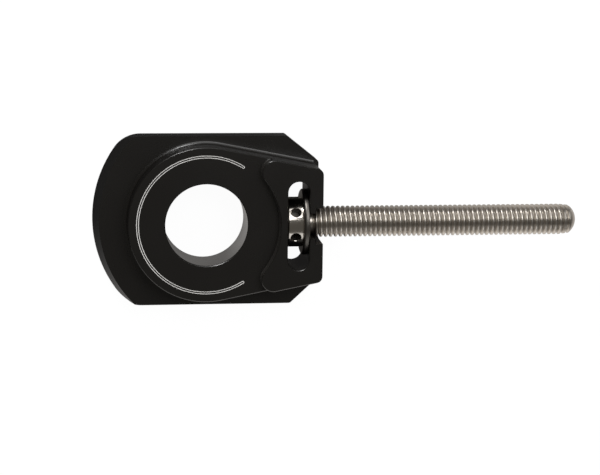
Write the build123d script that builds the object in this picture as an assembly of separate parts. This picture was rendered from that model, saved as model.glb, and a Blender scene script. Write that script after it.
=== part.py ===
from build123d import *
import os
from math import cos, radians, sin, sqrt, tan

# Rear-axle chain adjuster: an axle block and the adjuster screw held in its lug.
# Origin on the axle's axis at the block's flat back face, +Z out of the front, +X towards the screw's tip.

# Axle bore and the ring round it
axle_diameter = 20.0
axle_clearance = 0.2
bore_edge_break = 0.25
ring_wall = 9.15
ring_height = 12.7

# Plate behind the ring
plate_thickness = 6.0
plate_margin = 2.0
end_margin = 8.55
end_radius = 31.5
end_taper = 1.6
end_corner_radius = 8.0
upper_slant_length = 8.1
lower_slant_length = 6.9
slant_corner_radius = 1.0
end_shelf = 0.85

# Lug that stands above the ring and holds the screw
flank_angle = 11.2
lug_overlap = 1.15
lug_height = 15.7
lug_web = 1.65
horn_radius = 3.0
lug_corner_radius = 1.75
neck_wall = 1.3
thread_wall = 1.95
window_room = 2.8
window_edge_break = 0.15
foot_fillet = 0.8
edge_break = 0.2

# Double line engraved on the ring's face
line_inset = 2.35
line_gap = 0.5
line_width = 0.18
line_depth = 0.1
line_end_angle = 58.0

# Adjuster screw
thread_diameter = 8.0
thread_length = 67.0
thread_lead_depth = 0.75
tip_dome = 2.6
neck_diameter = 6.1
neck_relief = 0.8
flange_diameter = 16.6
flange_thickness = 1.4
flange_front_break = 0.5
flange_back_break = 0.15
head_diameter = 12.5
head_length = 3.8
head_chamfer = 0.3
pin_hole_diameter = 2.36
pin_hole_depth = 3.0
pin_hole_edge_break = 0.2
pin_hole_count = 6
pin_hole_turn = 59.3
pin_hole_offset = 0.16

# Clearances between the screw and the block
head_end_clearance = 0.15
flange_clearance = 0.1
flange_inset = 0.1
neck_clearance = 0.15
thread_clearance = 0.45
thread_lead_clearance = 0.3

# Sizes that follow from the ones above
bore_radius = axle_diameter / 2 + axle_clearance
ring_radius = bore_radius + ring_wall
half_height = ring_radius + plate_margin
end_reach = ring_radius + end_margin
end_centre = end_radius - end_reach
step_radius = ring_radius - lug_overlap
screw_height = flange_diameter / 2 + flange_inset

window_left = step_radius + lug_web
head_start = window_left + head_end_clearance
head_end = head_start + head_length
flange_end = head_end + flange_thickness
window_right = flange_end + flange_clearance
neck_wall_end = window_right + neck_wall
block_reach = neck_wall_end + thread_wall
thread_start = neck_wall_end + neck_relief
full_thread_start = block_reach + thread_lead_clearance
screw_tip = thread_start + thread_length
window_half_height = flange_diameter / 2 + window_room

flank_slope = tan(radians(flank_angle))
flank_normal = Vector(sin(radians(flank_angle)), cos(radians(flank_angle)))
flank_along = Vector(cos(radians(flank_angle)), -sin(radians(flank_angle)))
pin_hole_middle = (head_start + head_end) / 2 + pin_hole_offset

# Room that cutters and blanks have beyond the block, and how near two measures count as one
spare = ring_wall
same = 0.001


def flank_height(x):
    """Half-height of the ring and lug at x, where their tangent flanks run."""
    return ring_radius / cos(radians(flank_angle)) - flank_slope * x


def mirrored(point):
    return Vector(point.X, -point.Y)


def plate_face():
    """Outline of the plate: a rounded end, two flats and two slanted corners at the flat end."""
    corner = end_centre - sqrt(end_radius**2 - half_height**2)
    end_half = flank_height(block_reach) + end_shelf
    upper_left = (corner, half_height)
    lower_left = (corner, -half_height)
    flats = Polyline(
        lower_left,
        (block_reach - lower_slant_length, -half_height),
        (block_reach, -end_half),
        (block_reach, end_half),
        (block_reach - upper_slant_length, half_height),
        upper_left,
    )
    face = make_face([ThreePointArc(upper_left, (-end_reach, 0), lower_left), flats])
    round_end = face.vertices().filter_by(lambda v: v.X < 0)
    face = fillet(round_end, end_corner_radius)
    slants = face.vertices().filter_by(lambda v: v.X > block_reach - upper_slant_length - spare)
    return fillet(slants, slant_corner_radius)


def ring_face(reach):
    """Teardrop of the ring: a circle with two tangent flanks that run to x = reach."""
    touch = flank_normal * ring_radius
    end_half = flank_height(reach)
    arc = ThreePointArc(touch, (-ring_radius, 0), mirrored(touch))
    flanks = Polyline(mirrored(touch), (reach, -end_half), (reach, end_half), touch)
    return make_face([arc, flanks])


def lug_face(reach):
    """The lug's top: flanks outside, a circle round the bore inside, and rounded horns between them."""
    out = ring_radius - horn_radius
    away = step_radius + horn_radius
    horn = flank_normal * out + flank_along * sqrt(away**2 - out**2)
    on_flank = horn + flank_normal * horn_radius
    on_step = horn * (step_radius / away)
    back = (flank_normal - horn.normalized()).normalized()
    tip = horn + back * horn_radius
    end_half = flank_height(reach)
    edges = [
        ThreePointArc(on_step, (step_radius, 0), mirrored(on_step)),
        ThreePointArc(on_flank, tip, on_step),
        ThreePointArc(mirrored(on_step), mirrored(tip), mirrored(on_flank)),
        Polyline(mirrored(on_flank), (reach, -end_half), (reach, end_half), on_flank),
    ]
    return make_face(edges)


def raised(face, height):
    """A face raised from the back plane, with its top edges broken at 45 degrees."""
    straight = extrude(face, height - edge_break)
    top = extrude(Pos(0, 0, height - edge_break) * face, edge_break, taper=45)
    return straight + top


def end_taper_cutter():
    """What the taper takes off the rounded end: a half ring outside a cone."""
    beyond = end_radius + spare
    profile = Polyline(
        (end_radius, 0),
        (end_radius - end_taper, plate_thickness),
        (beyond, plate_thickness),
        (beyond, 0),
        close=True,
    )
    half_ring = revolve(Plane.XZ * make_face(profile), Axis.Z, revolution_arc=180)
    return Pos(end_centre, 0, 0) * Rot(0, 0, 90) * half_ring


def lug_corner_cutter():
    """What rounds the lug's upper end corner, from the plate's face upwards."""
    end_half = flank_height(block_reach)
    corner = Vector(block_reach, end_half)
    turn = radians(90 - flank_angle)
    run = lug_corner_radius * tan(turn / 2)
    on_flank = corner - flank_along * run
    on_end = corner - Vector(0, run)
    centre = on_end - Vector(lug_corner_radius, 0)
    middle = centre + (corner - centre).normalized() * lug_corner_radius
    outside = Polyline(
        on_end,
        on_end + Vector(spare, 0),
        corner + Vector(spare, spare),
        on_flank + flank_normal * spare,
        on_flank,
    )
    face = make_face([ThreePointArc(on_flank, middle, on_end), outside])
    return Pos(0, 0, plate_thickness) * extrude(face, lug_height)


def slot_cutter(start, end, half_width):
    """A slot with a round bottom on the screw's axis, open to the front."""
    tube = Pos((start + end) / 2, 0, screw_height) * Rot(0, 90, 0) * Cylinder(half_width, end - start)
    mouth = Pos((start + end) / 2, 0, screw_height) * Box(
        end - start, 2 * half_width, lug_height, align=(Align.CENTER, Align.CENTER, Align.MIN)
    )
    return tube + mouth


def engraved_line():
    """The thin closed line on the ring's face: two arcs with round ends."""
    radius = ring_radius - line_inset
    at_end = Vector(cos(radians(line_end_angle)), sin(radians(line_end_angle))) * radius
    path = ThreePointArc(at_end, (-radius, 0), mirrored(at_end))
    outer = SlotArc(path, line_gap + line_width)
    inner = SlotArc(path, line_gap - line_width)
    return Pos(0, 0, ring_height - line_depth) * extrude(outer - inner, 2 * line_depth)


def axle_block():
    overshoot = block_reach + spare
    slab = Pos(overshoot, 0, 0) * Box(
        overshoot + end_reach + spare,
        2 * (half_height + spare),
        plate_thickness,
        align=(Align.MAX, Align.CENTER, Align.MIN),
    )
    body = slab + raised(ring_face(overshoot), ring_height) + raised(lug_face(overshoot), lug_height)
    foot = body.edges().filter_by_position(Axis.Z, plate_thickness, plate_thickness)
    foot = foot.filter_by(lambda e: e.center().X < overshoot and abs(e.center().Y) < half_height)
    foot = foot.filter_by(lambda e: e.center().X > -end_reach)
    body = fillet(foot, foot_fillet)
    body = body & extrude(plate_face(), lug_height)
    body -= end_taper_cutter()
    body -= [lug_corner_cutter(), mirror(lug_corner_cutter(), Plane.XZ)]
    body -= Cylinder(bore_radius, lug_height, align=(Align.CENTER, Align.CENTER, Align.MIN))
    bore_edges = body.edges().filter_by(GeomType.CIRCLE)
    bore_edges = bore_edges.filter_by(lambda e: abs(e.radius - bore_radius) < same)
    body = chamfer(bore_edges, bore_edge_break)
    window_width = window_right - window_left
    window = SlotOverall(2 * window_half_height, window_width, rotation=90)
    body -= extrude(Pos((window_left + window_right) / 2, 0, 0) * window, lug_height)
    rim = body.edges().filter_by_position(Axis.Z, lug_height, lug_height)
    rim = rim.filter_by(lambda e: window_left - same < e.center().X < window_right + same)
    rim = rim.filter_by(lambda e: abs(e.center().Y) < window_half_height)
    body = chamfer(rim, window_edge_break)
    neck_slot = neck_diameter / 2 + neck_clearance
    thread_slot = thread_diameter / 2 + thread_clearance
    body -= slot_cutter(window_right - lug_web, neck_wall_end, neck_slot)
    body -= slot_cutter(neck_wall_end, block_reach + spare, thread_slot)
    body -= engraved_line()
    return body


def adjuster_screw():
    head = head_diameter / 2
    flange = flange_diameter / 2
    neck = neck_diameter / 2
    thread = thread_diameter / 2
    turned = Polyline(
        (head_start, 0),
        (head_start, head - head_chamfer),
        (head_start + head_chamfer, head),
        (head_end, head),
        (head_end, flange - flange_front_break),
        (head_end + flange_front_break, flange),
        (flange_end - flange_back_break, flange),
        (flange_end, flange - flange_back_break),
        (flange_end, neck),
        (thread_start, neck),
        (thread_start, thread - thread_lead_depth),
        (full_thread_start, thread),
        (screw_tip - tip_dome, thread),
    )
    ball = (thread**2 + tip_dome**2) / (2 * tip_dome)
    lean = sqrt(ball**2 - (thread / 2) ** 2)
    dome = ThreePointArc(
        (screw_tip - tip_dome, thread), (screw_tip - ball + lean, thread / 2), (screw_tip, 0)
    )
    axis = Line((screw_tip, 0), (head_start, 0))
    screw = revolve(make_face([turned, dome, axis]), Axis.X)
    hole = pin_hole_diameter / 2
    drill = revolve(
        make_face(
            Polyline(
                (0, head - pin_hole_depth),
                (hole, head - pin_hole_depth),
                (hole, head - pin_hole_edge_break),
                (hole + 2 * pin_hole_edge_break, head + pin_hole_edge_break),
                (0, head + pin_hole_edge_break),
                close=True,
            )
        ),
        Axis.Y,
    )
    for k in range(pin_hole_count):
        turn = pin_hole_turn + 360 * k / pin_hole_count
        screw -= Pos(pin_hole_middle, 0, 0) * Rot(turn, 0, 0) * drill
    return Pos(0, 0, screw_height) * screw


os.makedirs("parts", exist_ok=True)
for name, piece in {"axle_block": axle_block(), "adjuster_screw": adjuster_screw()}.items():
    export_step(piece, f"parts/{name}.step")
    print(name, round(piece.volume, 1), "mm3", piece.bounding_box().size)
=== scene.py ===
import bpy
import bmesh
from math import pi, radians, sqrt
from mathutils import Matrix, Vector


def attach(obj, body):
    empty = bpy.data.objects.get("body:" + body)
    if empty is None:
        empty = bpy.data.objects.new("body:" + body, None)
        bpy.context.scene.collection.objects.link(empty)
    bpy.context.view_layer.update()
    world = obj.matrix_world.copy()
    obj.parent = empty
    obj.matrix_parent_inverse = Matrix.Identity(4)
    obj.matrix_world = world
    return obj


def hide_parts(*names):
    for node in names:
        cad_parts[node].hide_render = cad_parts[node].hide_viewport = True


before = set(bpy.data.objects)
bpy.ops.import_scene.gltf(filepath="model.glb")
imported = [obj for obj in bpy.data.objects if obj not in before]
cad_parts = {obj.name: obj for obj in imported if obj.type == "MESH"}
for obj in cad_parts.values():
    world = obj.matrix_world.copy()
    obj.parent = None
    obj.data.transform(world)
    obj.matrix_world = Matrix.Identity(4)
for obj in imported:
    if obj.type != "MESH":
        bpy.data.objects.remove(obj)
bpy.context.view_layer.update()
scene = bpy.context.scene
scene.view_settings.view_transform = "Standard"
mm = 0.001
print("frame loaded")


# small helpers for nodes and pieces

def addNode(tree, kind, **values):
    node = tree.nodes.new(kind)
    for name, value in values.items():
        if hasattr(node, name):
            setattr(node, name, value)
        else:
            node.inputs[name.replace("_", " ")].default_value = value
    return node


def join(tree, source, output, target, socket):
    tree.links.new(source.outputs[output], target.inputs[socket])


def newMaterial(name):
    material = bpy.data.materials.new(name)
    material.use_nodes = True
    return material, material.node_tree, material.node_tree.nodes["Principled BSDF"]


def smoothByAngle(bm, limit):
    for face in bm.faces:
        face.smooth = True
    for edge in bm.edges:
        edge.smooth = len(edge.link_faces) == 2 and edge.calc_face_angle() < limit


def roundEdges(bm, edges, offset, segments):
    bmesh.ops.bevel(
        bm, geom=edges, offset=offset, offset_type="OFFSET", affect="EDGES",
        segments=segments, profile=0.5, material=-1, clamp_overlap=True,
    )


def finishPiece(bm, name, body, node, materials):
    mesh = bpy.data.meshes.new(name)
    bm.to_mesh(mesh)
    bm.free()
    for material in materials:
        mesh.materials.append(material)
    piece = bpy.data.objects.new(name, mesh)
    scene.collection.objects.link(piece)
    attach(piece, body)
    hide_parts(node)
    print(name, len(mesh.polygons), "faces")
    return piece


# fine grain that both metals share: a slow drift of gloss and a fine blasted or turned surface

def makeGrainGroup():
    group = bpy.data.node_groups.new("metalGrain", "ShaderNodeTree")
    for name, kind, value in [
        ("Stretch", "NodeSocketVector", (1, 1, 1)),
        ("Grain Scale", "NodeSocketFloat", 4000.0),
        ("Drift Scale", "NodeSocketFloat", 60.0),
        ("Gloss", "NodeSocketFloat", 0.3),
        ("Gloss Drift", "NodeSocketFloat", 0.05),
    ]:
        socket = group.interface.new_socket(name, in_out="INPUT", socket_type=kind)
        socket.default_value = value
    for name in ("Roughness", "Height", "Drift"):
        group.interface.new_socket(name, in_out="OUTPUT", socket_type="NodeSocketFloat")
    inside = addNode(group, "NodeGroupInput")
    outside = addNode(group, "NodeGroupOutput")
    coords = addNode(group, "ShaderNodeTexCoord")
    stretch = addNode(group, "ShaderNodeVectorMath", operation="MULTIPLY")
    grain = addNode(group, "ShaderNodeTexNoise", Detail=3.0)
    drift = addNode(group, "ShaderNodeTexNoise", Detail=2.0)
    spread = addNode(group, "ShaderNodeMath", operation="SUBTRACT")
    spread.inputs[1].default_value = 0.5
    rough = addNode(group, "ShaderNodeMath", operation="MULTIPLY_ADD")
    join(group, coords, "Object", stretch, 0)
    join(group, inside, "Stretch", stretch, 1)
    join(group, stretch, "Vector", grain, "Vector")
    join(group, coords, "Object", drift, "Vector")
    join(group, inside, "Grain Scale", grain, "Scale")
    join(group, inside, "Drift Scale", drift, "Scale")
    join(group, drift, "Fac", spread, 0)
    join(group, spread, "Value", rough, 0)
    join(group, inside, "Gloss Drift", rough, 1)
    join(group, inside, "Gloss", rough, 2)
    join(group, rough, "Value", outside, "Roughness")
    join(group, grain, "Fac", outside, "Height")
    join(group, drift, "Fac", outside, "Drift")
    return group


grainGroup = makeGrainGroup()


def placeGrain(tree, shader, look):
    grain = addNode(tree, "ShaderNodeGroup", node_tree=grainGroup)
    for name, value in look["grain"].items():
        grain.inputs[name].default_value = value
    bump = addNode(tree, "ShaderNodeBump", Strength=look["bumpStrength"], Distance=look["bumpDepth"])
    tint = addNode(tree, "ShaderNodeMix", data_type="RGBA")
    tint.inputs["A"].default_value = look["colour"]
    tint.inputs["B"].default_value = look["colourDrift"]
    join(tree, grain, "Roughness", shader, "Roughness")
    join(tree, grain, "Height", bump, "Height")
    join(tree, bump, "Normal", shader, "Normal")
    join(tree, grain, "Drift", tint, "Factor")
    join(tree, tint, "Result", shader, "Base Color")


# axle block: black anodised aluminium, with the double line cut through to bare metal

block = {
    "mergeWithin": 0.001 * mm,
    "levelWithin": 0.002 * mm,
    "flatWithin": radians(0.4),
    "flatWeight": 100,
    "sharpFrom": radians(24),
    "edgeRound": 0.06 * mm,
    "edgeSegments": 2,
    "stepFoot": 12.7 * mm,
    "stepFacing": -0.3,  # the step's walls look towards the ring
    "stepRound": 0.3 * mm,  # inside corner where the lug rises from the ring
    "stepSegments": 4,
    "boreReach": 10.3 * mm,
    "wallSlope": 0.4,
    "lineTop": 12.7 * mm,
    "lineBelow": (0.01 * mm, 0.15 * mm),
    "lineRadius": 17.0 * mm,
    "lineReach": 0.5 * mm,
    "colour": (0.0064, 0.0056, 0.0048, 1),
    "colourDrift": (0.0073, 0.0064, 0.0055, 1),
    "filmIndex": 1.6,  # the dyed film mirrors little head-on and more at a slant
    "bumpStrength": 0.25,
    "bumpDepth": 0.004 * mm,
    "grain": {"Grain Scale": 7000.0, "Drift Scale": 70.0, "Gloss Drift": 0.06},
    "finishes": {
        "blackAnodised": {"gloss": 0.27},
        "boredWall": {"gloss": 0.24},
        "milledSide": {"gloss": 0.33},
        # painted light: the step's walls get a lighter colour than the rest of the black film, to
        # cancel the shade that falls on them
        "stepWallPaintedLight": {
            "gloss": 0.5, "colour": (0.0235, 0.021, 0.018, 1), "colourDrift": (0.0255, 0.023, 0.02, 1),
        },
    },
    "lineColour": (0.80, 0.79, 0.77, 1),
    "lineRoughness": 0.55,
}


def makeAnodised(name):
    material, tree, shader = newMaterial(name)
    shader.inputs["IOR"].default_value = block["filmIndex"]
    finish = block["finishes"][name]
    look = dict(block, grain=dict(block["grain"], Gloss=finish["gloss"]))
    look.update(finish)
    placeGrain(tree, shader, look)
    return material


def makeBareLine():
    material, tree, shader = newMaterial("engravedLine")
    shader.inputs["Base Color"].default_value = block["lineColour"]
    shader.inputs["Roughness"].default_value = block["lineRoughness"]
    return material


def inLine(face):
    centre = face.calc_center_median()
    away = abs(centre.xy.length - block["lineRadius"])
    least, most = block["lineBelow"]
    return away < block["lineReach"] and least < block["lineTop"] - centre.z < most


def inStep(edge):
    level = all(abs(vert.co.z - block["stepFoot"]) < block["levelWithin"] for vert in edge.verts)
    if not level or len(edge.link_faces) != 2 or edge.is_convex:
        return False
    return edge.calc_face_angle() > block["sharpFrom"]


def isSharpRim(edge):
    if len(edge.link_faces) != 2 or not edge.is_convex:
        return False
    if any(face.material_index == 1 for face in edge.link_faces):  # the engraved line stays crisp
        return False
    return edge.calc_face_angle() > block["sharpFrom"]


def finishOf(face):
    if inLine(face):
        return 1
    if abs(face.normal.z) > block["wallSlope"]:
        return 0
    centre = face.calc_center_median()
    if centre.xy.length < block["boreReach"]:
        return 2
    # faces of the step's walls get the painted-light finish
    return 4 if centre.z > block["stepFoot"] and face.normal.x < block["stepFacing"] else 3


def makeBlock():
    bm = bmesh.new()
    bm.from_mesh(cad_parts["axle_block"].data)
    bmesh.ops.remove_doubles(bm, verts=bm.verts, dist=block["mergeWithin"])
    for face in bm.faces:
        face.material_index = finishOf(face)
    plain = [e for e in bm.edges if not any(f.material_index == 1 for f in e.link_faces)]
    bmesh.ops.dissolve_limit(
        bm, angle_limit=block["flatWithin"], verts=bm.verts, edges=plain, delimit={"MATERIAL"}
    )
    roundEdges(bm, [e for e in bm.edges if inStep(e)], block["stepRound"], block["stepSegments"])
    roundEdges(bm, [e for e in bm.edges if isSharpRim(e)], block["edgeRound"], block["edgeSegments"])
    smoothByAngle(bm, block["sharpFrom"])
    materials = [makeAnodised(name) for name in block["finishes"]]
    materials.insert(1, makeBareLine())
    piece = finishPiece(bm, "axleBlock", "block", "axle_block", materials)
    even = piece.modifiers.new("evenNormals", "WEIGHTED_NORMAL")  # keeps faces flat beside their rims
    even.weight = block["flatWeight"]
    even.keep_sharp = True
    return piece


makeBlock()


# adjuster screw: turned stainless, with a rolled M8 thread

screw = {
    "mergeWithin": 0.0005 * mm,
    "turnsMergeWithin": 0.002 * mm,
    "cutWithin": 0.0001 * mm,
    "axisHeight": 8.4 * mm,
    "headStart": 20.0 * mm,
    "headEnd": 23.8 * mm,
    "headRadius": 6.25 * mm,
    "headChamfer": 0.3 * mm,
    "flangeEnd": 25.2 * mm,
    "flangeRadius": 8.3 * mm,
    "flangeRounds": (0.7 * mm, 0.25 * mm),  # on the head's side and on the thread's
    "flangeSegments": 6,
    "neckRadius": 3.05 * mm,
    "neckGap": 0.1 * mm,
    "neckSink": 0.42 * mm,  # how far the thread's run-in is sunk into the neck
    "threadStart": 26.75 * mm,
    "fullThread": 27.35 * mm,
    "tip": 94.4 * mm,
    "tipDome": 2.6 * mm,
    "tipRun": 5.5 * mm,  # the last turns, which taper
    "tipTaper": 0.11,
    "tipBare": 0.9 * mm,  # the thread has run out by here
    "tipRings": (0.6 * mm, 0.35 * mm, 0.15 * mm, 0.04 * mm),  # rings of the dome, back from the tip
    "threadRadius": 4.0 * mm,
    "pitch": 1.25 * mm,
    "threadProfile": [  # along one pitch, and out from the axis
        (0.0, 3.27), (0.04, 3.278), (0.075, 3.30), (0.11, 3.35), (0.37, 3.81),
        (0.42, 3.86), (0.50, 3.882), (0.625, 3.89), (0.75, 3.882), (0.83, 3.86),
        (0.88, 3.81), (1.14, 3.35), (1.175, 3.30), (1.21, 3.278),
    ],
    "rootRadius": 3.36 * mm,
    "turnSteps": 40,
    "roundSteps": 96,
    "holeMiddle": 22.06 * mm,
    "holeRadius": 1.18 * mm,
    "holeDepth": 3.0 * mm,
    "holeBreak": 0.2 * mm,
    "holeCount": 6,
    "holeTurn": 59.3,
    "holeSteps": 40,
    "holeSlack": 1.02,  # how far past its radius and its rim's break a hole's wall is looked for
    "breakSlack": 1.2,
    "flangeAfter": 0.06 * mm,  # where the flange's and the thread's finishes start
    "threadAfter": 0.01 * mm,
    "edgeRound": 0.05 * mm,
    "edgeSegments": 2,
    "sharpFrom": radians(30),
    "finishes": {
        "turnedStainless": {
            "gloss": 0.18, "colour": (0.72, 0.675, 0.62, 1), "colourDrift": (0.66, 0.62, 0.57, 1),
        },
        "rolledThread": {
            "gloss": 0.31, "colour": (0.64, 0.596, 0.541, 1), "colourDrift": (0.59, 0.549, 0.498, 1),
        },
        "dullFlange": {
            "gloss": 0.38, "colour": (0.16, 0.15, 0.138, 1), "colourDrift": (0.14, 0.131, 0.12, 1),
        },
        # painted shade: the thread's roots get a darker steel than its crests and flanks
        "threadRootShade": {
            "gloss": 0.42, "colour": (0.39, 0.362, 0.328, 1), "colourDrift": (0.36, 0.334, 0.303, 1),
        },
    },
    "edgeTint": (0.75, 0.75, 0.75, 1),
    # painted shade inside the pin holes
    "holeShadeColour": (0.20, 0.188, 0.173, 1),
    "holeRoughness": 0.5,
    "bumpStrength": 0.2,
    "bumpDepth": 0.003 * mm,
    "grain": {
        "Stretch": (6.0, 1.0, 1.0), "Grain Scale": 2500.0, "Drift Scale": 120.0, "Gloss Drift": 0.06,
    },
}


def makeSteel(name):
    material, tree, shader = newMaterial(name)
    shader.inputs["Metallic"].default_value = 1.0
    shader.inputs["Specular Tint"].default_value = screw["edgeTint"]
    finish = screw["finishes"][name]
    look = dict(screw, grain=dict(screw["grain"], Gloss=finish["gloss"]))
    look.update(finish)
    placeGrain(tree, shader, look)
    return material


# painted shade: the pin holes' walls are a much darker steel than the head, standing in for the shade
# inside them
def makeHoleShade():
    material, tree, shader = newMaterial("holeWallShade")
    shader.inputs["Metallic"].default_value = 1.0
    shader.inputs["Base Color"].default_value = screw["holeShadeColour"]
    shader.inputs["Roughness"].default_value = screw["holeRoughness"]
    return material


def inHole(face):
    centre = face.calc_center_median()
    along = abs(centre.x - screw["holeMiddle"])
    inside = screw["headRadius"] - screw["breakSlack"] * screw["holeBreak"]
    return along < screw["holeSlack"] * screw["holeRadius"] and centre.yz.length < inside


def steelOf(face):
    if inHole(face):
        return 1
    centre = face.calc_center_median()
    if centre.x > screw["flangeEnd"] + screw["threadAfter"]:
        turns = screw["fullThread"] < centre.x < screw["tip"] - screw["tipDome"]
        # faces below the root radius get the painted shade of the roots
        return 4 if turns and centre.yz.length < screw["rootRadius"] else 2
    return 3 if centre.x > screw["headEnd"] + screw["flangeAfter"] else 0


def spunProfile(bm, points, axis, steps):
    verts = [bm.verts.new(point) for point in points]
    edges = [bm.edges.new(pair) for pair in zip(verts, verts[1:])]
    bmesh.ops.spin(
        bm, geom=verts + edges, cent=(0, 0, 0), axis=axis, angle=2 * pi, steps=steps, use_merge=True
    )
    bmesh.ops.remove_doubles(bm, verts=bm.verts, dist=screw["mergeWithin"])


def domeRadius(x):
    ball = (screw["threadRadius"] ** 2 + screw["tipDome"] ** 2) / (2 * screw["tipDome"])
    along = x - (screw["tip"] - ball)
    if x < screw["tip"] - screw["tipDome"]:
        return screw["threadRadius"]
    return sqrt(max(ball**2 - along**2, 0.0))


def threadLimits(x):
    run = (x - screw["threadStart"]) / (screw["fullThread"] - screw["threadStart"])
    lead = min(max(run, 0.0), 1.0)
    sunk = (1 - lead) * screw["neckSink"]
    most = screw["neckRadius"] + lead * (screw["threadRadius"] - screw["neckRadius"])
    taper = screw["tipTaper"] * max(x - screw["tip"] + screw["tipRun"], 0.0)
    return sunk, min(most, domeRadius(x), screw["threadRadius"] - taper)


def addThread(bm):
    first = screw["flangeEnd"] - 2 * screw["pitch"]
    points = screw["threadProfile"] + [(screw["pitch"] / mm, screw["threadProfile"][0][1])]
    verts = [bm.verts.new((first + x * mm, r * mm, 0)) for x, r in points]
    edges = [bm.edges.new(pair) for pair in zip(verts, verts[1:])]
    bmesh.ops.spin(
        bm, geom=verts + edges, cent=(0, 0, 0), axis=(1, 0, 0), angle=2 * pi,
        dvec=(screw["pitch"] / screw["turnSteps"], 0, 0), steps=screw["turnSteps"],
    )
    reach = screw["pitch"]
    while first + reach < screw["tip"]:  # each copy doubles the turns
        copy = bmesh.ops.duplicate(bm, geom=list(bm.verts) + list(bm.edges) + list(bm.faces))["geom"]
        moved = [item for item in copy if isinstance(item, bmesh.types.BMVert)]
        bmesh.ops.translate(bm, verts=moved, vec=(reach, 0, 0))
        reach *= 2
    bmesh.ops.remove_doubles(bm, verts=bm.verts, dist=screw["turnsMergeWithin"])
    domeEnd = screw["tip"] - screw["tipBare"]
    for place, side in ((screw["flangeEnd"], -1), (domeEnd, 1)):
        whole = list(bm.verts) + list(bm.edges) + list(bm.faces)
        bmesh.ops.bisect_plane(
            bm, geom=whole, dist=screw["cutWithin"], plane_co=(place, 0, 0), plane_no=(side, 0, 0),
            clear_outer=True,
        )
    for vert in bm.verts:
        out = vert.co.yz
        sunk, most = threadLimits(vert.co.x)
        vert.co.yz = out * (min(out.length - sunk, most) / out.length)
    return domeEnd


def closeTip(bm, start):
    middle = (screw["flangeEnd"] + start) / 2
    rim = [e for e in bm.edges if e.is_boundary and e.verts[0].co.x > middle]
    for back in screw["tipRings"]:
        x = screw["tip"] - back
        made = bmesh.ops.extrude_edge_only(bm, edges=rim)["geom"]
        for vert in (v for v in made if isinstance(v, bmesh.types.BMVert)):
            out = vert.co.yz
            vert.co.x = x
            vert.co.yz = out * (domeRadius(x) / out.length)
        rim = [e for e in made if isinstance(e, bmesh.types.BMEdge) and e.is_boundary]
    cap = bmesh.ops.contextual_create(bm, geom=rim)["faces"]
    bmesh.ops.poke(bm, faces=cap)


def addHead(bm):
    s = screw
    points = [
        (s["headStart"], 0), (s["headStart"], s["headRadius"] - s["headChamfer"]),
        (s["headStart"] + s["headChamfer"], s["headRadius"]), (s["headEnd"], s["headRadius"]),
        (s["headEnd"], s["flangeRadius"]), (s["flangeEnd"], s["flangeRadius"]),
        (s["flangeEnd"], s["neckRadius"] + s["neckGap"]),
    ]
    spunProfile(bm, [(x, r, 0) for x, r in points], (1, 0, 0), s["roundSteps"])
    bmesh.ops.recalc_face_normals(bm, faces=bm.faces)
    corners = [e for e in bm.edges if len(e.link_faces) == 2 and e.calc_face_angle() > s["sharpFrom"]]
    rim = [e for e in corners if e.verts[0].co.yz.length > (s["headRadius"] + s["flangeRadius"]) / 2]
    front = [e for e in rim if e.verts[0].co.x < (s["headEnd"] + s["flangeEnd"]) / 2]
    back = [e for e in rim if e not in front]
    rest = [e for e in corners if e not in rim]
    for edges, offset, segments in (
        (rest, s["edgeRound"], s["edgeSegments"]),
        (front, s["flangeRounds"][0], s["flangeSegments"]),
        (back, s["flangeRounds"][1], s["flangeSegments"]),
    ):
        roundEdges(bm, edges, offset, segments)


def pinHoleCutter():
    s = screw
    bm = bmesh.new()
    for k in range(s["holeCount"]):
        drill = bmesh.new()
        top = s["headRadius"]
        points = [
            (0, top - s["holeDepth"]), (s["holeRadius"], top - s["holeDepth"]),
            (s["holeRadius"], top - s["holeBreak"]),
            (s["holeRadius"] + 2 * s["holeBreak"], top + s["holeBreak"]), (0, top + s["holeBreak"]),
        ]
        spunProfile(drill, [(x, y, 0) for x, y in points], (0, 1, 0), s["holeSteps"])
        turn = Matrix.Rotation(radians(s["holeTurn"] + 360 * k / s["holeCount"]), 4, "X")
        drill.transform(Matrix.Translation((s["holeMiddle"], 0, 0)) @ turn)
        part = bpy.data.meshes.new("drill")
        drill.to_mesh(part)
        drill.free()
        bm.from_mesh(part)
        bpy.data.meshes.remove(part)
    bmesh.ops.recalc_face_normals(bm, faces=bm.faces)
    return bm


def cutAway(bm, cutter):
    objects = []
    for name, part in (("whole", bm), ("cutter", cutter)):
        mesh = bpy.data.meshes.new(name)
        part.to_mesh(mesh)
        part.free()
        piece = bpy.data.objects.new(name, mesh)
        scene.collection.objects.link(piece)
        objects.append(piece)
    whole, tool = objects
    cut = whole.modifiers.new("cut", "BOOLEAN")
    cut.operation, cut.solver, cut.object = "DIFFERENCE", "EXACT", tool
    bpy.context.view_layer.update()
    result = bmesh.new()
    result.from_object(whole, bpy.context.evaluated_depsgraph_get())
    for piece in objects:
        mesh = piece.data
        bpy.data.objects.remove(piece)
        bpy.data.meshes.remove(mesh)
    return result


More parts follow.
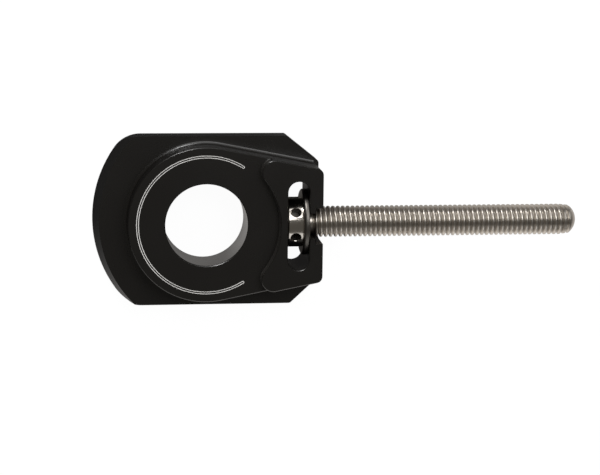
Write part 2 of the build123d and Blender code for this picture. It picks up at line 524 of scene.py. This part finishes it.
def makeScrew():
    bm = bmesh.new()
    domeEnd = addThread(bm)
    closeTip(bm, domeEnd)
    head = bmesh.new()
    addHead(head)
    part = bpy.data.meshes.new("head")
    head.to_mesh(part)
    head.free()
    bm.from_mesh(part)
    bpy.data.meshes.remove(part)
    shoulder = [e for e in bm.edges if e.is_boundary]
    bmesh.ops.triangle_fill(bm, edges=shoulder, use_beauty=True, normal=(-1, 0, 0))
    bmesh.ops.recalc_face_normals(bm, faces=bm.faces)
    print("screw open edges", sum(not e.is_manifold for e in bm.edges))
    bm = cutAway(bm, pinHoleCutter())
    for face in bm.faces:
        face.material_index = steelOf(face)
    bmesh.ops.translate(bm, verts=bm.verts, vec=(0, 0, screw["axisHeight"]))
    smoothByAngle(bm, screw["sharpFrom"])
    materials = [makeSteel(name) for name in screw["finishes"]]
    materials.insert(1, makeHoleShade())
    return finishPiece(bm, "adjusterScrew", "screw", "adjuster_screw", materials)


makeScrew()


# studio: pale floor, soft boxes above and below the picture, and a dark ceiling

studio = {
    "floorSize": 4.0,
    "floorDrop": 0.05 * mm,
    "floorColour": (0.07, 0.07, 0.07, 1),
    "floorGlow": 0.96,  # lifts the floor to white for the camera
    "metalNear": 1.0,  # the white that metal sees in front of the part, fading behind it as painted shade on the floor
    "metalFar": 0.0,
    "metalTint": (1.0, 0.96, 0.92, 1),
    "metalAlong": (-0.5, 1.0, 0.0),  # the way the painted shade darkens
    "metalSpan": (-0.0575, 0.015),
    "paintedSpots": {  # painted shadows and one painted pool of light on the floor that metal sees: middle, inner and outer edge, level inside
        "shadowUnderLug": ((0.0225, -0.004, 0.0), (0.008, 0.016), 0.1),
        "shadowByRoundEnd": ((-0.03, 0.0, 0.0), (0.004, 0.03), 0.5),
        "lightInBore": ((0.009, 0.001, 0.0), (0.003, 0.010), 2.3),
        "shadowBeyondTip": ((0.62, 0.0, 0.0), (0.46, 0.54), 0.1),
    },
    "zenith": (0.088, 0.083, 0.074, 1),
    "softLight": (0.37, 0.37, 0.37, 1),
    "white": (1.0, 1.0, 1.0, 1),
    "lampAim": (0.03, 0.0, 0.008),
    "lamps": {
        "keyHigh": {"place": (0.168, 0.35, 0.848), "size": (0.60, 0.30), "power": 2.0},
        "keyLow": {"place": (0.168, 0.62, 0.673), "size": (0.60, 0.29), "power": 0.80},
        "lowStrip": {"place": (0.076, 0.865, 0.323), "size": (0.50, 0.27), "power": 0.68},
        "hotSpot": {"place": (-0.23, 0.80, 0.34), "size": (0.20, 0.15), "power": 3.2},
        "fillBox": {"place": (0.03, -0.81, 0.45), "size": (0.9, 0.52), "power": 1.16},
        "sideBox": {"place": (0.70, 0.52, 0.48), "size": (0.8, 0.36), "power": 0.30},
    },
}


def whiteRays(tree):
    rays = addNode(tree, "ShaderNodeLightPath")
    direct = addNode(tree, "ShaderNodeMath", operation="MAXIMUM")
    join(tree, rays, "Is Camera Ray", direct, 0)
    join(tree, rays, "Is Transmission Ray", direct, 1)
    return rays, direct


def makeFloor():
    bm = bmesh.new()
    bmesh.ops.create_grid(bm, x_segments=1, y_segments=1, size=studio["floorSize"] / 2)
    bmesh.ops.translate(bm, verts=bm.verts, vec=(0, 0, -studio["floorDrop"]))
    mesh = bpy.data.meshes.new("floor")
    bm.to_mesh(mesh)
    bm.free()
    material, tree, shader = newMaterial("paleFloor")
    tree.nodes.remove(shader)
    output = tree.nodes["Material Output"]
    matte = addNode(tree, "ShaderNodeBsdfDiffuse", Color=studio["floorColour"])
    tint = addNode(tree, "ShaderNodeMix", data_type="RGBA")
    tint.inputs["A"].default_value = studio["white"]
    tint.inputs["B"].default_value = studio["metalTint"]
    glow = addNode(tree, "ShaderNodeEmission")
    both = addNode(tree, "ShaderNodeAddShader")
    rays, direct = whiteRays(tree)
    coords = addNode(tree, "ShaderNodeTexCoord")
    along = addNode(tree, "ShaderNodeVectorMath", operation="DOT_PRODUCT")
    along.inputs[1].default_value = studio["metalAlong"]
    # painted shade: the floor seen in metal darkens from in front of the part to behind it
    fade = addNode(tree, "ShaderNodeMapRange")
    fade.inputs["From Min"].default_value, fade.inputs["From Max"].default_value = studio["metalSpan"]
    fade.inputs["To Min"].default_value = studio["metalNear"]
    fade.inputs["To Max"].default_value = studio["metalFar"]
    mirrored = addNode(tree, "ShaderNodeMath", operation="MULTIPLY")
    level = addNode(tree, "ShaderNodeMath", operation="MULTIPLY_ADD")
    level.inputs[1].default_value = studio["floorGlow"]
    join(tree, coords, "Object", along, 0)
    join(tree, along, "Value", fade, "Value")
    lit = (fade, "Result")
    # painted shadows under and beside the part, and painted light inside the bore, scale the floor
    # that metal sees
    for middle, span, inside in studio["paintedSpots"].values():
        away = addNode(tree, "ShaderNodeVectorMath", operation="DISTANCE")
        away.inputs[1].default_value = middle
        spot = addNode(tree, "ShaderNodeMapRange")
        spot.inputs["From Min"].default_value, spot.inputs["From Max"].default_value = span
        spot.inputs["To Min"].default_value = inside
        scaled = addNode(tree, "ShaderNodeMath", operation="MULTIPLY")
        join(tree, coords, "Object", away, 0)
        join(tree, away, "Value", spot, "Value")
        join(tree, *lit, scaled, 0)
        join(tree, spot, "Result", scaled, 1)
        lit = (scaled, "Value")
    join(tree, *lit, mirrored, 0)
    join(tree, rays, "Is Glossy Ray", mirrored, 1)
    join(tree, rays, "Is Glossy Ray", tint, "Factor")
    join(tree, tint, "Result", glow, "Color")
    join(tree, direct, "Value", level, 0)
    join(tree, mirrored, "Value", level, 2)
    join(tree, level, "Value", glow, "Strength")
    join(tree, matte, "BSDF", both, 0)
    join(tree, glow, "Emission", both, 1)
    join(tree, both, "Shader", output, "Surface")
    mesh.materials.append(material)
    floor = bpy.data.objects.new("floor", mesh)
    scene.collection.objects.link(floor)


def makeWorld():
    world = bpy.data.worlds.new("studio")
    scene.world = world
    world.use_nodes = True
    tree = world.node_tree
    rays, direct = whiteRays(tree)
    sky = addNode(tree, "ShaderNodeMix", data_type="RGBA")
    sky.inputs["A"].default_value = studio["softLight"]
    sky.inputs["B"].default_value = studio["zenith"]
    back = addNode(tree, "ShaderNodeMix", data_type="RGBA")
    back.inputs["B"].default_value = studio["white"]
    join(tree, rays, "Is Glossy Ray", sky, "Factor")
    join(tree, sky, "Result", back, "A")
    join(tree, direct, "Value", back, "Factor")
    join(tree, back, "Result", tree.nodes["Background"], "Color")


def makeLamps():
    for name, look in studio["lamps"].items():
        lamp = bpy.data.lights.new(name, "AREA")
        lamp.shape = "RECTANGLE"
        lamp.size, lamp.size_y = look["size"]
        lamp.energy = look["power"]
        piece = bpy.data.objects.new(name, lamp)
        piece.location = look["place"]
        aim = Vector(studio["lampAim"]) - Vector(look["place"])
        piece.rotation_euler = aim.to_track_quat("-Z", "Y").to_euler()
        piece.visible_camera = False
        scene.collection.objects.link(piece)


makeFloor()
makeWorld()
makeLamps()
print("studio ready")


# camera where the photograph was taken from

cameraView = {
    "place": (-0.032026, 0.074472, 0.436761),
    "right": (0.99182, 0.01158, 0.12705),
    "up": (0.01143, 0.98380, -0.17890),
    "lens": 105.0,
    "sensor": 36.0,
    "nearest": 0.01,
}


def makeCamera():
    lens = bpy.data.cameras.new("photoCamera")
    lens.sensor_fit = "HORIZONTAL"
    lens.sensor_width = cameraView["sensor"]
    lens.lens = cameraView["lens"]
    lens.clip_start = cameraView["nearest"]
    camera = bpy.data.objects.new("photoCamera", lens)
    right, up = Vector(cameraView["right"]).normalized(), Vector(cameraView["up"]).normalized()
    turn = Matrix((right, up, right.cross(up))).transposed()
    camera.matrix_world = Matrix.Translation(cameraView["place"]) @ turn.to_4x4()
    scene.collection.objects.link(camera)
    scene.camera = camera


makeCamera()
print("camera placed")
